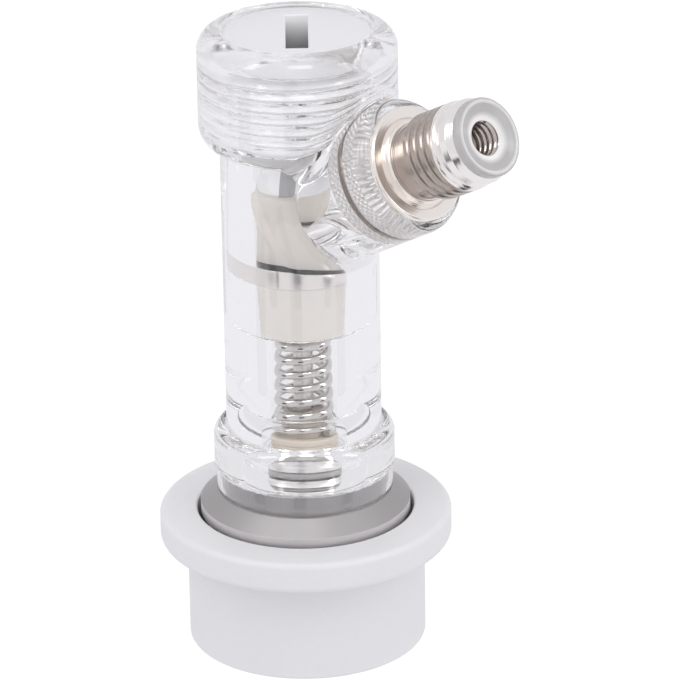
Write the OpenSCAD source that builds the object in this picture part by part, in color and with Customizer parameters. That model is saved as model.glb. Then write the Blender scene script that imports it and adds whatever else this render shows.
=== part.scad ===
// Ball lock disconnect for a beverage keg, gas side, with a flare outlet.
// The main axis is +Z. The origin is on it, at the bottom plane of the collar.
// The side port points towards +X and rises from the horizontal.

/* [Collar] */
// Wall of the collar's skirt round the ramp ring
collar_wall = 1.6; // [1.4:0.1:2.4]
// Height of the collar
collar_h = 17.9; // [17:0.1:19]
// Reach of the finger flange beyond the skirt
flange_reach = 3.45; // [2.4:0.05:5]
// Thickness of the finger flange at its rim
flange_t = 4.1; // [3.2:0.1:4.8]
// Fall of the finger flange's top face from its opening to its rim
flange_fall = 0.2; // [0:0.1:1]
// Rounding of the finger flange's rim
flange_round = 0.9; // [0.4:0.1:1]
// Upward travel of the collar when it is lifted
collar_travel = 4.2; // [3.6:0.1:4.4]
// Wall of the ramp ring behind the recess that the balls move into
ramp_wall = 1.16; // [0.9:0.02:1.6]
// Thickness of the lip that carries the ramp ring
collar_lip = 1.5; // [1.2:0.1:1.8]

/* [Ball cage] */
// Bore of the socket that takes the keg post
socket_d = 17.6; // [17.2:0.1:18]
// Bore of the socket's mouth, below the balls
mouth_d = 18.0; // [17.95:0.05:18.4]
// Depth of the mouth
mouth_h = 4.4; // [3.8:0.1:4.6]
// Wall of the cage's sleeve
cage_wall = 2.4; // [2.3:0.05:2.6]
// How far the cage's shoulder stands inside the ramp ring's outside
shoulder_step = 0.2; // [0.1:0.05:0.6]
// Height of the shoulder's straight side
shoulder_h = 1.4; // [1:0.1:2]
// Height of the shoulder's cone
cone_h = 1.85; // [1.4:0.05:2.2]
// Depth of the socket
socket_h = 17.2; // [16:0.1:17.6]
// Gap between the shoulder and the collar's opening
opening_gap = 0.45; // [0.3:0.05:0.8]
// Height of the pad
pad_h = 2.85; // [2:0.05:3.2]
// Diameter of the neck that holds the clear body
neck_d = 9.3; // [8.8:0.1:9.6]
// Height of the neck above the pad
neck_h = 3.7; // [3.4:0.1:4.2]
// Bore of the valve seat
seat_d = 4.6; // [4.2:0.1:5]
// Diameter of a locking ball
ball_d = 3.5; // [3.3:0.05:3.6]
// Number of locking balls
BALLS = 4;
// Height of the balls above the bottom plane
ball_z = 7.0; // [6.8:0.1:7.2]

/* [Clear body] */
// Outer diameter of the tube
tube_d = 19.72; // [19:0.1:20.6]
// How far the head stands out from the tube
head_step = 2.58; // [2:0.02:3.4]
// Height of the head's straight side and round edge together
head_h = 11.9; // [11.4:0.1:13]
// Height of the round underside of the head
head_taper_h = 3; // [2.4:0.1:4]
// Rounding of the head's top edge
head_round = 2.6; // [1:0.1:2.8]
// Height of the whole clear body
body_h = 61.25; // [58:0.05:64]
// How far the bulge at the bottom stands out from the tube
bulge_step = 1.64; // [1.5:0.02:2.2]
// How far the lip under the bulge stands inside the bulge
lip_step = 0.25; // [0.1:0.05:0.6]
// Wall of the lip round the cage's pad
lip_wall = 1.05; // [0.8:0.05:1.6]
// Height of the lip
lip_h = 2.95; // [2.6:0.05:3.3]
// Height of the bulge and its shoulder above the lip
bulge_h = 5.7; // [5:0.1:7]
// Upper bore, which holds the sleeve, the ring and the spring seat
bore_d = 11.3; // [11:0.1:11.8]
// Radial gap between the valve spring and its bore
spring_gap = 0.45; // [0.4:0.05:0.6]
// How far the bell under the spring bore is wider than the cage's neck
bell_gap = 0.65; // [0.4:0.05:1]

/* [Side port] */
// Height at which the port's axis meets the main axis
port_z = 58.4; // [57.5:0.1:59]
// Rise of the port's axis from the horizontal
port_angle = 28.2; // [25:0.2:32]
// Diameter of the clear boss at its outer end
boss_d = 17; // [16:0.1:18]
// Distance from the main axis to the end of the clear boss
boss_l = 21.7; // [21:0.1:23]
// Length of the knurled insert inside the boss
insert_l = 7.4; // [6.4:0.1:8]
// Wall of the clear boss round the knurled insert
boss_wall = 2.2; // [1.6:0.1:2.6]
// How far the insert's face flange stands out from its knurl
face_step = 0.9; // [0.4:0.05:1.1]
// Major diameter of the flare thread
thread_d = 11.0; // [10.9:0.05:11.15]
// Pitch of the flare thread
thread_pitch = 1.27; // [1:0.01:1.6]
// Number of thread crests
CRESTS = 5;
// Bore of the insert
insert_bore_d = 4.4; // [4:0.1:4.8]
// Diameter of the clear passage from the upper bore to the insert
passage_d = 6.0; // [5.4:0.1:6.6]
// How far the flare washer stands inside the thread's crests
washer_step = 0.6; // [0.4:0.05:1]
// Length of the flare washer
washer_l = 1.3; // [1.2:0.1:2.4]

/* [Top cap] */
// Diameter of the cap's disc
cap_d = 18.4; // [18.2:0.1:19]
// Thickness of the cap's disc
cap_t = 2.9; // [2.4:0.1:3.4]
// How far the cap's disc lies below the head's rim
cap_sink = 0.4; // [0:0.1:1]
// How far the cap's thread stands inside its disc
cap_step = 0.5; // [0.4:0.05:0.8]
// Pitch of the cap's thread
cap_pitch = 1.5; // [1.2:0.05:2]
// Length of the cap's threaded part
cap_thread_l = 9.9; // [9:0.1:10.4]
// Radial gap between the cap's lower boss and the upper bore
cap_boss_gap = 0.4; // [0.2:0.05:0.6]
// Length of the cap's lower boss
cap_boss_l = 6.85; // [5.6:0.05:7]
// Width of the screwdriver slot
slot_w = 2.8; // [2.4:0.1:3.2]
// Length of the screwdriver slot
slot_l = 12.6; // [9:0.1:13.6]
// Depth of the screwdriver slot
slot_depth = 8; // [3:0.1:9]
// Direction of the screwdriver slot
slot_angle = -46.6; // [-90:0.1:90]
// Thickness of the cap's O-ring
cap_oring_t = 1.7; // [1.5:0.1:1.8]

/* [Valve] */
// Diameter of the poppet's pin
pin_d = 2.6; // [2.2:0.1:2.8]
// Diameter of the pin's foot, which meets the keg's own valve
pin_foot_d = 3.4; // [3:0.1:3.6]
// Depth that the pin reaches below the socket's ceiling
pin_reach = 4.0; // [3:0.1:6]
// Diameter of the poppet's seal
seal_d = 8.3; // [8:0.05:8.4]
// Thickness of the poppet's seal
seal_t = 0.9; // [0.7:0.1:1.1]
// Thickness of the poppet button's flange
button_t = 0.9; // [0.7:0.1:1.1]
// Radial gap between the button's boss and the valve spring round it
button_gap = 0.25; // [0.15:0.05:0.5]
// Height of that boss
button_boss_h = 3.2; // [2.6:0.1:3.6]
// Upward travel of the poppet
poppet_travel = 3.5; // [3:0.1:3.8]
// Wire of the valve spring
valve_wire = 1.0; // [0.8:0.05:1.05]
// Outer diameter of the valve spring
valve_spring_d = 7.7; // [7.4:0.1:7.8]
// Length of the valve spring with the valve shut
valve_spring_l = 13.9; // [13.4:0.1:14.4]
// Turns of the valve spring
VALVE_TURNS = 7.75;
// Length of the spring seat
seat_l = 7.1; // [6.6:0.1:8]
// Length of the steel retaining ring
ring_l = 2.4; // [2:0.1:3]
// Thickness of the rubber gasket above the retaining ring
gasket_t = 0.8; // [0.6:0.1:1]
// Gap between the sleeve and the cap's boss above it
sleeve_gap = 0.05; // [0.05:0.05:1]
// Wire of the collar spring
collar_wire = 1.0; // [0.8:0.05:1.1]
// Turns of the collar spring
COLLAR_TURNS = 3.25;

/* [Hidden] */

$fn = 96;
// Overlap used only to make a cut run past a face
eps = 0.05;
// Radial gap of a running fit
run_gap = 0.06;
// Radial gap of a loose fit
loose_gap = 0.25;
// Gap at which two rubber or sprung faces stand
face_gap = 0.02;

// Diameters that follow from a neighbour's diameter and the wall or gap between them
head_d = tube_d + 2 * head_step;
bulge_d = tube_d + 2 * bulge_step;
bulge_round = bulge_step - 0.14;
lip_d = bulge_d - 2 * lip_step;
pad_d = lip_d - 2 * lip_wall;
bell_d = neck_d + 2 * bell_gap;
spring_bore_d = valve_spring_d + 2 * spring_gap;
cap_thread_d = cap_d - 2 * cap_step;
cap_boss_d = bore_d - 2 * cap_boss_gap;
button_boss_d = valve_spring_d - 2 * valve_wire - 2 * button_gap;

// Heights from the bottom plane
cage_foot_z = 0.3;
ceiling_z = cage_foot_z + socket_h;
snap_z = 0.5;
snap_t = 1.0;
ramp_z = snap_z + snap_t + face_gap;
cone_low_z = ceiling_z + 1.3;
body_z = cone_low_z + cone_h;
shoulder_z = cone_low_z - shoulder_h;
pad_z = body_z + pad_h;
neck_z = pad_z + neck_h;
bulge_z = body_z + lip_h;
tube_z = bulge_z + bulge_h;
top_z = body_z + body_h;
disc_top_z = top_z - cap_sink;
head_z = top_z - head_h;

// Groove of the neck and its O-ring
neck_groove = 0.75;
neck_groove_z = pad_z + 0.5;
neck_groove_w = 1.2;
neck_oring_t = 0.82;
// Depth to which the snap ring enters the cage
snap_bite = 0.7;

// Cap
cap_thread_z = disc_top_z - cap_t - cap_thread_l;
cap_boss_z = cap_thread_z - cap_boss_l;
counterbore_z = cap_thread_z - cap_oring_t;
cap_oring_z = counterbore_z + cap_oring_t / 2;
counterbore_r = cap_boss_d / 2 + cap_oring_t;
cap_thread_depth = 0.4;
cap_grooves = floor((cap_thread_l - 0.8) / cap_pitch);

// Stack in the upper bore, from the shelf upwards
neck_rim_z = neck_z + 0.2;
shelf_z = neck_z + seal_t + button_t + valve_spring_l;
ring_z = shelf_z + seat_l;
gasket_z = ring_z + ring_l;
sleeve_z = gasket_z + gasket_t;
sleeve_l = cap_boss_z - sleeve_gap - sleeve_z;
bore_r = bore_d / 2;
sleeve_wall = 0.9;
ring_bore_r = bore_r - 1.2;
gasket_bore_r = bore_r - 2.1;

// Valve
seal_z = neck_z;
button_z = seal_z + seal_t;
spring_low_z = button_z + button_t;
pin_foot_z = ceiling_z - pin_reach;
pin_top_z = ring_z - poppet_travel - 0.3;
clip_z = spring_low_z + button_boss_h;
clip_t = 0.6;
clip_bite = 0.3;
clip_wall = 0.9;
bell_h = 4.2;

// Balls and ramp. The balls move out by their reach into the socket while the collar travels.
cage_d = socket_d + 2 * cage_wall;
ball_r = ball_d / 2;
land_r = cage_d / 2 + run_gap;
ball_c = land_r - 0.05 - ball_r;
ball_reach = socket_d / 2 - (ball_c - ball_r) + 0.03;
ball_ratio = ball_reach / collar_travel;
ramp_r0 = ball_c + ball_r * sqrt(1 + ball_ratio * ball_ratio) + 0.05;
recess_r = ramp_r0 + ball_reach;
ramp_turn_z = ball_z + (ramp_r0 - land_r) / ball_ratio;
ramp_top_z = ball_z + 2.0;
ramp_out_r = recess_r + ramp_wall;
shoulder_d = 2 * (ramp_out_r - shoulder_step);
opening_r = shoulder_d / 2 + opening_gap;
collar_d = 2 * (ramp_out_r + collar_wall);
flange_d = collar_d + 2 * flange_reach;
flange_top_z = collar_h - flange_fall;
flange_low_z = flange_top_z - flange_t;
collar_spring_r = (land_r + opening_r) / 2;

// Port, along its own axis from the main axis outwards
knurl_d = boss_d - 2 * boss_wall;
face_d = knurl_d + 2 * face_step;
washer_d = thread_d - 2 * washer_step;
insert_low = boss_l - insert_l;
groove_low = insert_low + 2.0;
groove_w = 0.8;
groove_depth = 1.1;
face_t = 0.8;
collar_step_l = 0.8;
undercut_l = 2.2;
thread_low = boss_l + face_t + collar_step_l + undercut_l;
thread_depth = 0.68;
thread_end = thread_low + CRESTS * thread_pitch;
land_l = 1.55;
thread_land_r = thread_d / 2 - 0.2;
nose_low = thread_end + land_l;
nose_l = 0.9;
spigot_low = nose_low + nose_l;
spigot_l = 0.4;

function arc(cx, cy, r, a0, a1, n = 10) =
    [for (i = [0:n]) let (a = a0 + (a1 - a0) * i / n) [cx + r * cos(a), cy + r * sin(a)]];

// A tube swept along a helix: the rings' points, one after the other
function helix_point(i, k, r, wire, z0, h, turns, steps, sides, closed) =
    let (
        u = i / steps,
        a = 360 * turns * u,
        shut = wire * 1.06,
        open_part = max(0, min(1, (turns * u - closed) / (turns - 2 * closed))),
        shut_part = min(turns * u, closed) + max(0, turns * u - turns + closed),
        rise = wire / 2 + (h - wire - 2 * closed * shut) * open_part + shut * shut_part,
        b = 360 * k / sides,
        rr = r + wire / 2 * cos(b)
    )
    [rr * cos(a), rr * sin(a), z0 + rise + wire / 2 * sin(b)];

// A compression spring with closed ends, from z0 to z0 + h
module spring(r, wire, z0, h, turns, closed, per_turn, sides = 8) {
    steps = ceil(turns * per_turn);
    points = [
        for (i = [0:steps]) for (k = [0:sides - 1])
            helix_point(i, k, r, wire, z0, h, turns, steps, sides, closed)
    ];
    faces = concat(
        [[for (k = [0:sides - 1]) k]],
        [[for (k = [sides - 1:-1:0]) steps * sides + k]],
        [
            for (i = [0:steps - 1]) for (k = [0:sides - 1])
                [i * sides + k, (i + 1) * sides + k, (i + 1) * sides + (k + 1) % sides, i * sides + (k + 1) % sides]
        ]
    );
    polyhedron(points = points, faces = faces, convexity = 10);
}

module ring(r_out, r_in, z0, h) {
    difference() {
        translate([0, 0, z0]) cylinder(r = r_out, h = h);
        translate([0, 0, z0 - eps]) cylinder(r = r_in, h = h + 2 * eps);
    }
}

module o_ring(r_mean, t, z) {
    rotate_extrude() translate([r_mean, z]) circle(d = t, $fn = 32);
}

module port_frame() {
    translate([0, 0, port_z]) rotate([0, 90 - port_angle, 0]) children();
}

// Outer form of the insert, as the clear body is moulded round it
module insert_form() {
    rotate_extrude() polygon([
        [0, insert_low],
        [knurl_d / 2 - 0.4, insert_low],
        [knurl_d / 2, insert_low + 0.4],
        [knurl_d / 2, groove_low],
        [knurl_d / 2 - groove_depth, groove_low],
        [knurl_d / 2 - groove_depth, groove_low + groove_w],
        [knurl_d / 2, groove_low + groove_w],
        [knurl_d / 2, boss_l],
        [0, boss_l]
    ]);
}

// Outside of the clear body without its boss
module body_outside() {
    bulge_r = bulge_d / 2;
    tube_r = tube_d / 2;
    head_r = head_d / 2;
    rotate_extrude() polygon(concat(
        [[0, body_z], [lip_d / 2, body_z], [lip_d / 2, bulge_z], [bulge_r, bulge_z + 0.15]],
        arc(bulge_r - bulge_round, tube_z - bulge_round, bulge_round, 0, 90, 8),
        [[tube_r, tube_z + 0.1]],
        [for (i = [0:12]) let (a = 90 * i / 12)
            [tube_r + (head_r - tube_r) * sin(a), head_z - head_taper_h * cos(a)]],
        arc(head_r - head_round, top_z - head_round, head_round, 0, 90, 8),
        [[0, top_z]]
    ));
}

// Hollow of the clear body along its main axis, from the cage's pad to the top
module body_inside() {
    cap_r = cap_d / 2 + run_gap;
    rotate_extrude() polygon(concat(
        [[0, body_z - 1], [pad_d / 2, body_z - 1], [pad_d / 2, pad_z], [neck_d / 2 + 0.1, pad_z]],
        [[neck_d / 2 + 0.1, neck_rim_z], [bell_d / 2, neck_rim_z]],
        [for (i = [0:8]) let (a = 90 * i / 8)
            [bell_d / 2 - (bell_d - spring_bore_d) / 2 * (1 - cos(a)), neck_rim_z + 0.3 + bell_h * sin(a)]],
        [[spring_bore_d / 2, shelf_z], [bore_r, shelf_z], [bore_r, counterbore_z]],
        [[counterbore_r + run_gap, counterbore_z], [counterbore_r + run_gap, cap_thread_z]],
        [[cap_thread_d / 2 + run_gap, cap_thread_z], [cap_thread_d / 2 + run_gap, disc_top_z - cap_t]],
        [[cap_r, disc_top_z - cap_t], [cap_r, top_z + 1], [0, top_z + 1]]
    ));
}

module clear_body() color([0.93, 0.93, 0.96, 0.35]) {
    boss_root_r = boss_d / 2 + 0.35;
    boss_low = bore_r - 1.6;
    difference() {
        union() {
            body_outside();
            port_frame() rotate_extrude() polygon(concat(
                [[0, boss_low], [boss_root_r, boss_low]],
                arc(boss_d / 2 - 1.2, boss_l - 1.2, 1.2, 0, 90, 5),
                [[0, boss_l]]
            ));
        }
        body_inside();
        port_frame() insert_form();
        port_frame() cylinder(d = passage_d, h = insert_low + eps);
    }
}

module cap_plug() color([0.86, 0.86, 0.88]) {
    chamfer = 0.3;
    hollow_d = cap_boss_d - 3.6;
    hollow_l = cap_boss_l + 3;
    thread_low_z = cap_thread_z + eps;
    disc_z = disc_top_z - cap_t + eps;
    thread_r = cap_thread_d / 2;
    root_r = thread_r - cap_thread_depth;
    difference() {
        rotate_extrude() polygon(concat(
            [[0, cap_boss_z], [cap_boss_d / 2 - chamfer, cap_boss_z], [cap_boss_d / 2, cap_boss_z + chamfer]],
            [[cap_boss_d / 2, thread_low_z], [thread_r - chamfer, thread_low_z], [thread_r, thread_low_z + chamfer]],
            [for (i = [0:cap_grooves - 1]) let (z = thread_low_z + chamfer + 0.15 + i * cap_pitch) each [
                [thread_r, z], [root_r, z + cap_pitch * 0.35],
                [root_r, z + cap_pitch * 0.45], [thread_r, z + cap_pitch * 0.8]
            ]],
            [[thread_r, disc_z], [cap_d / 2, disc_z], [cap_d / 2, disc_top_z], [0, disc_top_z]]
        ));
        translate([0, 0, disc_top_z - slot_depth / 2 + eps]) rotate([0, 0, slot_angle])
            cube([slot_l, slot_w, slot_depth + 2 * eps], center = true);
        translate([0, 0, cap_boss_z - eps]) cylinder(d = hollow_d, h = hollow_l + eps);
    }
}

module cap_oring() color([0.15, 0.15, 0.16])
    o_ring(cap_boss_d / 2 + cap_oring_t / 2 + run_gap / 2, cap_oring_t, cap_oring_z + face_gap);

// Sleeve between the gasket and the cap, notched towards the port
module outlet_sleeve() color([0.9, 0.87, 0.82]) {
    difference() {
        ring(bore_r - face_gap, bore_r - sleeve_wall, sleeve_z, sleeve_l);
        port_frame() cylinder(d = passage_d, h = 2 * bore_r);
    }
}

module sleeve_gasket() color([0.12, 0.12, 0.12])
    ring(bore_r - face_gap, gasket_bore_r, gasket_z, gasket_t);

module retaining_ring() color([0.72, 0.71, 0.69])
    ring(bore_r - face_gap, ring_bore_r, ring_z, ring_l);

// Bush that carries the valve spring's upper end and guides the pin
module spring_seat() color([0.9, 0.87, 0.82]) {
    flow_holes = 6;
    flow_hole_d = 1.3;
    flow_hole_r = 2.4;
    difference() {
        ring(bore_r - face_gap, pin_d / 2 + run_gap, shelf_z, seat_l);
        for (i = [0:flow_holes - 1]) rotate([0, 0, 360 / flow_holes * i])
            translate([flow_hole_r, 0, shelf_z - eps]) cylinder(d = flow_hole_d, h = seat_l + 2 * eps);
    }
}

module valve_spring() color([0.75, 0.74, 0.72])
    spring((valve_spring_d - valve_wire) / 2, valve_wire, spring_low_z + face_gap,
        shelf_z - spring_low_z - 2 * face_gap, VALVE_TURNS, 1, 18);

module poppet_button() color([0.88, 0.82, 0.74]) {
    difference() {
        rotate_extrude() polygon([
            [0, button_z],
            [seal_d / 2, button_z],
            [seal_d / 2, button_z + button_t],
            [button_boss_d / 2, button_z + button_t],
            [button_boss_d / 2, clip_z - 0.5],
            [button_boss_d / 2 - 0.5, clip_z],
            [0, clip_z]
        ]);
        translate([0, 0, button_z - eps]) cylinder(d = pin_d, h = clip_z - button_z + 2 * eps);
    }
}

module poppet_seal() color([0.85, 0.78, 0.68])
    ring(seal_d / 2, pin_d / 2, seal_z + face_gap, seal_t - face_gap);

// Groove of the pin in which its clip sits
module clip_groove() ring(pin_d, pin_d / 2 - clip_bite, clip_z, clip_t);

module poppet_pin() color([0.76, 0.75, 0.73]) {
    difference() {
        rotate_extrude() polygon([
            [0, pin_foot_z],
            [pin_foot_d / 2 - 0.4, pin_foot_z],
            [pin_foot_d / 2, pin_foot_z + 0.4],
            [pin_foot_d / 2, seal_z + face_gap],
            [pin_d / 2, seal_z + face_gap],
            [pin_d / 2, pin_top_z - 0.4],
            [pin_d / 2 - 0.4, pin_top_z],
            [0, pin_top_z]
        ]);
        clip_groove();
    }
}

module pin_clip() color([0.6, 0.6, 0.6]) {
    opening = pin_d * 0.66;
    difference() {
        ring(pin_d / 2 + clip_wall, pin_d / 2 - clip_bite, clip_z, clip_t);
        translate([0, -opening / 2, clip_z - eps]) cube([pin_d * 2, opening, clip_t + 2 * eps]);
    }
}

// One groove of the flare thread, between two crests with flat tops
module thread_profile() {
    crest = thread_pitch * 0.3;
    root_r = thread_d / 2 - thread_depth;
    for (i = [0:CRESTS - 1])
        translate([0, thread_low + i * thread_pitch])
            polygon([
                [0, 0], [root_r, 0], [root_r, 0.1],
                [thread_d / 2, (thread_pitch - crest) / 2], [thread_d / 2, (thread_pitch + crest) / 2],
                [root_r, thread_pitch - 0.1], [root_r, thread_pitch], [0, thread_pitch]
            ]);
}

module port_insert() color([0.78, 0.75, 0.72]) port_frame() {
    step_r = thread_d / 2 - 0.2;
    root_r = thread_d / 2 - thread_depth;
    undercut_step = 0.25;
    undercut_r = root_r - undercut_step;
    difference() {
        union() {
            insert_form();
            rotate_extrude() {
                polygon([
                    [0, boss_l], [face_d / 2, boss_l], [face_d / 2, boss_l + face_t - 0.3],
                    [face_d / 2 - 0.3, boss_l + face_t], [step_r, boss_l + face_t],
                    [step_r, boss_l + face_t + collar_step_l - 0.3],
                    [step_r - 0.3, boss_l + face_t + collar_step_l],
                    [undercut_r, boss_l + face_t + collar_step_l],
                    [undercut_r, thread_low - undercut_step], [root_r, thread_low], [0, thread_low]
                ]);
                thread_profile();
                polygon([
                    [0, thread_end], [root_r, thread_end], [root_r, thread_end + 0.1],
                    [thread_land_r, thread_end + 0.5], [thread_land_r, nose_low],
                    [washer_d / 2 - 0.1, spigot_low], [insert_bore_d / 2 + 1, spigot_low],
                    [insert_bore_d / 2 + 0.6, spigot_low + spigot_l], [0, spigot_low + spigot_l]
                ]);
            }
        }
        translate([0, 0, insert_low - eps])
            cylinder(d = insert_bore_d, h = spigot_low + spigot_l - insert_low + 2 * eps);
    }
}

// Nylon washer that seals against the flare nut's cone
module flare_washer() color([0.9, 0.9, 0.9, 0.7]) port_frame() {
    end = spigot_low + washer_l;
    bore_in_r = insert_bore_d / 2 + 0.6;
    rotate_extrude() polygon([
        [bore_in_r + 0.4 + face_gap, spigot_low],
        [washer_d / 2 - 0.2, spigot_low],
        [washer_d / 2, spigot_low + 0.2],
        [washer_d / 2, end - 0.6],
        [washer_d / 2 - 0.2, end - 0.2],
        [washer_d / 2 - 0.6, end],
        [bore_in_r + 0.6, end],
        [insert_bore_d / 2, end - 0.6],
        [insert_bore_d / 2, spigot_low + spigot_l + face_gap],
        [bore_in_r + face_gap, spigot_low + spigot_l + face_gap]
    ]);
}

module ball_cage() color([0.7, 0.7, 0.7]) {
    neck_r = neck_d / 2;
    groove_r = neck_r - neck_groove;
    rib_r = neck_r - 0.25;
    rib_z = pad_z + 2.1;
    rib_w = 0.5;
    snap_r = cage_d / 2 - snap_bite;
    ball_hole_z = socket_d / 2 + 0.15;
    ball_mouth_r = ball_r - 0.07;
    foot = 0.5;
    difference() {
        rotate_extrude() polygon([
            [0, ceiling_z], [socket_d / 2, ceiling_z],
            [socket_d / 2, cage_foot_z + mouth_h], [mouth_d / 2, cage_foot_z + mouth_h],
            [mouth_d / 2, cage_foot_z + foot], [mouth_d / 2 + foot, cage_foot_z],
            [cage_d / 2 - 0.2, cage_foot_z], [cage_d / 2, snap_z],
            [snap_r, snap_z], [snap_r, snap_z + snap_t],
            [cage_d / 2, snap_z + snap_t], [cage_d / 2, shoulder_z],
            [shoulder_d / 2, shoulder_z], [shoulder_d / 2, cone_low_z],
            [lip_d / 2, body_z], [pad_d / 2, body_z], [pad_d / 2, pad_z - face_gap],
            [neck_r, pad_z - face_gap], [neck_r, neck_groove_z],
            [groove_r, neck_groove_z], [groove_r, neck_groove_z + neck_groove_w],
            [neck_r, neck_groove_z + neck_groove_w], [neck_r, rib_z],
            [rib_r, rib_z], [rib_r, rib_z + rib_w],
            [neck_r, rib_z + rib_w], [neck_r, neck_z], [0, neck_z]
        ]);
        translate([0, 0, ceiling_z - eps]) cylinder(d = seat_d, h = neck_z - ceiling_z + 2 * eps);
        for (i = [0:BALLS - 1]) rotate([0, 0, 45 + 360 / BALLS * i]) translate([0, 0, ball_z]) rotate([0, 90, 0]) {
            translate([0, 0, ball_hole_z]) cylinder(r = ball_r + run_gap, h = cage_d / 2, $fn = 48);
            translate([0, 0, socket_d / 2 - 1]) cylinder(r = ball_mouth_r, h = 2, $fn = 48);
        }
    }
}

module neck_oring() color([0.1, 0.1, 0.1])
    o_ring(neck_d / 2 - neck_groove + face_gap + neck_oring_t / 2, neck_oring_t, neck_groove_z + neck_groove_w / 2);

module lock_ball(i) color([0.8, 0.8, 0.8])
    rotate([0, 0, 45 + 360 / BALLS * i]) translate([ball_c, 0, ball_z]) sphere(r = ball_r, $fn = 48);

module collar() color([0.85, 0.85, 0.88]) {
    skirt_r = collar_d / 2;
    flange_r = flange_d / 2;
    foot = 0.4;
    rotate_extrude() polygon(concat(
        [[ramp_out_r - 0.45, 0], [skirt_r - foot, 0]],
        arc(skirt_r - foot, foot, foot, -90, 0, 4),
        [[skirt_r, flange_low_z]],
        arc(flange_r - flange_round, flange_low_z + flange_round, flange_round, -90, 0, 5),
        arc(flange_r - flange_round, flange_top_z - flange_round, flange_round, 0, 72, 5),
        [[opening_r + 0.3, collar_h], [opening_r, collar_h - 0.3]],
        [[opening_r, ramp_top_z], [ramp_out_r, ramp_top_z], [ramp_out_r, collar_lip], [ramp_out_r - 0.45, collar_lip]]
    ));
}

// Steel ring in the collar that holds the balls in, and lets them out when the collar is lifted
module ramp_ring() color([0.66, 0.66, 0.66])
    rotate_extrude() polygon([
        [recess_r, ramp_z],
        [ramp_out_r, ramp_z],
        [ramp_out_r, ramp_top_z],
        [land_r, ramp_top_z],
        [land_r, ramp_turn_z],
        [recess_r, ball_z - collar_travel]
    ]);

module collar_spring() color([0.75, 0.74, 0.72])
    spring(collar_spring_r, collar_wire, ramp_top_z + face_gap,
        shoulder_z - ramp_top_z - 2 * face_gap, COLLAR_TURNS, 0.5, 32);

module snap_ring() color([0.55, 0.55, 0.56]) {
    snap_out_r = ramp_out_r - 0.7;
    gap_w = 3;
    difference() {
        ring(snap_out_r, cage_d / 2 - snap_bite, snap_z, snap_t);
        rotate([0, 0, 180]) translate([0, -gap_w / 2, snap_z - eps]) cube([collar_d, gap_w, snap_t + 2 * eps]);
    }
}

clear_body();
cap_plug();
cap_oring();
outlet_sleeve();
sleeve_gasket();
retaining_ring();
spring_seat();
valve_spring();
poppet_button();
poppet_seal();
poppet_pin();
pin_clip();
port_insert();
flare_washer();
ball_cage();
neck_oring();
lock_ball(0);  // lock_ball_1
lock_ball(1);  // lock_ball_2
lock_ball(2);  // lock_ball_3
lock_ball(3);  // lock_ball_4
collar();
ramp_ring();
collar_spring();
snap_ring();
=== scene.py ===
"""The looks of the ball lock disconnect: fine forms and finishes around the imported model."""

import math

import bmesh
import bpy
import numpy as np
from mathutils import Matrix, Vector


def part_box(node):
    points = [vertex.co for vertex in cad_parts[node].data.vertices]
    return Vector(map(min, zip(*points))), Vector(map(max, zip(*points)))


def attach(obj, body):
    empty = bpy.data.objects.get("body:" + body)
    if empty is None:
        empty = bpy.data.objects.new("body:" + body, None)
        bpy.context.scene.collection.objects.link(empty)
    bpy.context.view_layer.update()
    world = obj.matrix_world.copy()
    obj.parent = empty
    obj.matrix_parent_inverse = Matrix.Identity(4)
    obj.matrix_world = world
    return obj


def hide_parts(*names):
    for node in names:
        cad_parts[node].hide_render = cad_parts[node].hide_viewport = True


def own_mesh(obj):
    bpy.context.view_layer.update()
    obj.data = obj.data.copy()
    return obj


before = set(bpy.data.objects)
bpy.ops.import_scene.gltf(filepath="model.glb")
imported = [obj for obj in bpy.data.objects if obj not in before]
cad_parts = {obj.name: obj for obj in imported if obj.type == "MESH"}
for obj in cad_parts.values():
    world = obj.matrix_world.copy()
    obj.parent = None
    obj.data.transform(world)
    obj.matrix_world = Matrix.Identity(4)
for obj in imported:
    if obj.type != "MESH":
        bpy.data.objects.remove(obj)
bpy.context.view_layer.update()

MM = 0.001


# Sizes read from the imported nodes, in millimetres

def low_z(node):
    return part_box(node)[0][2] / MM


def high_z(node):
    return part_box(node)[1][2] / MM


def radius(node):
    low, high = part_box(node)
    return (high[1] - low[1]) / 2 / MM


BODY_Z, TOP_Z = low_z("clear_body"), high_z("clear_body")
NECK_Z = high_z("ball_cage")
SHELF_Z = low_z("spring_seat")
RING_Z, RING_TOP_Z = low_z("retaining_ring"), high_z("retaining_ring")
SLEEVE_Z, SLEEVE_TOP_Z = low_z("outlet_sleeve"), high_z("outlet_sleeve")
CAP_LOW_Z = low_z("cap_plug")
FLANGE_R = radius("collar")
SPRING_R = radius("valve_spring")
BORE_R = radius("retaining_ring") + 0.02

# Sizes of the clear body, in millimetres
TUBE_R = 9.86
HEAD_R = 12.44
HEAD_H = 11.9
HEAD_TAPER = 3.0
HEAD_ROUND = 2.6
LIP_R = 11.25
LIP_H = 2.95
BULGE_R = 11.5
BULGE_H = 5.7
BULGE_ROUND = 1.5
CREASE = 0.45
HEAD_HAZE = 0.07
PAD_R = 10.2
PAD_H = 2.85
NECK_R = 4.65
BELL_R = 5.3
BELL_H = 4.2
SPRING_BORE_R = 4.3
VOXEL = 0.25
THREAD_RELIEF = 0.35

# The steel band touches the body between two angles, and elsewhere leaves a thin gap
BAND_GRIP = 0.04
BAND_TOUCH = (180, 286.6)

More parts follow.
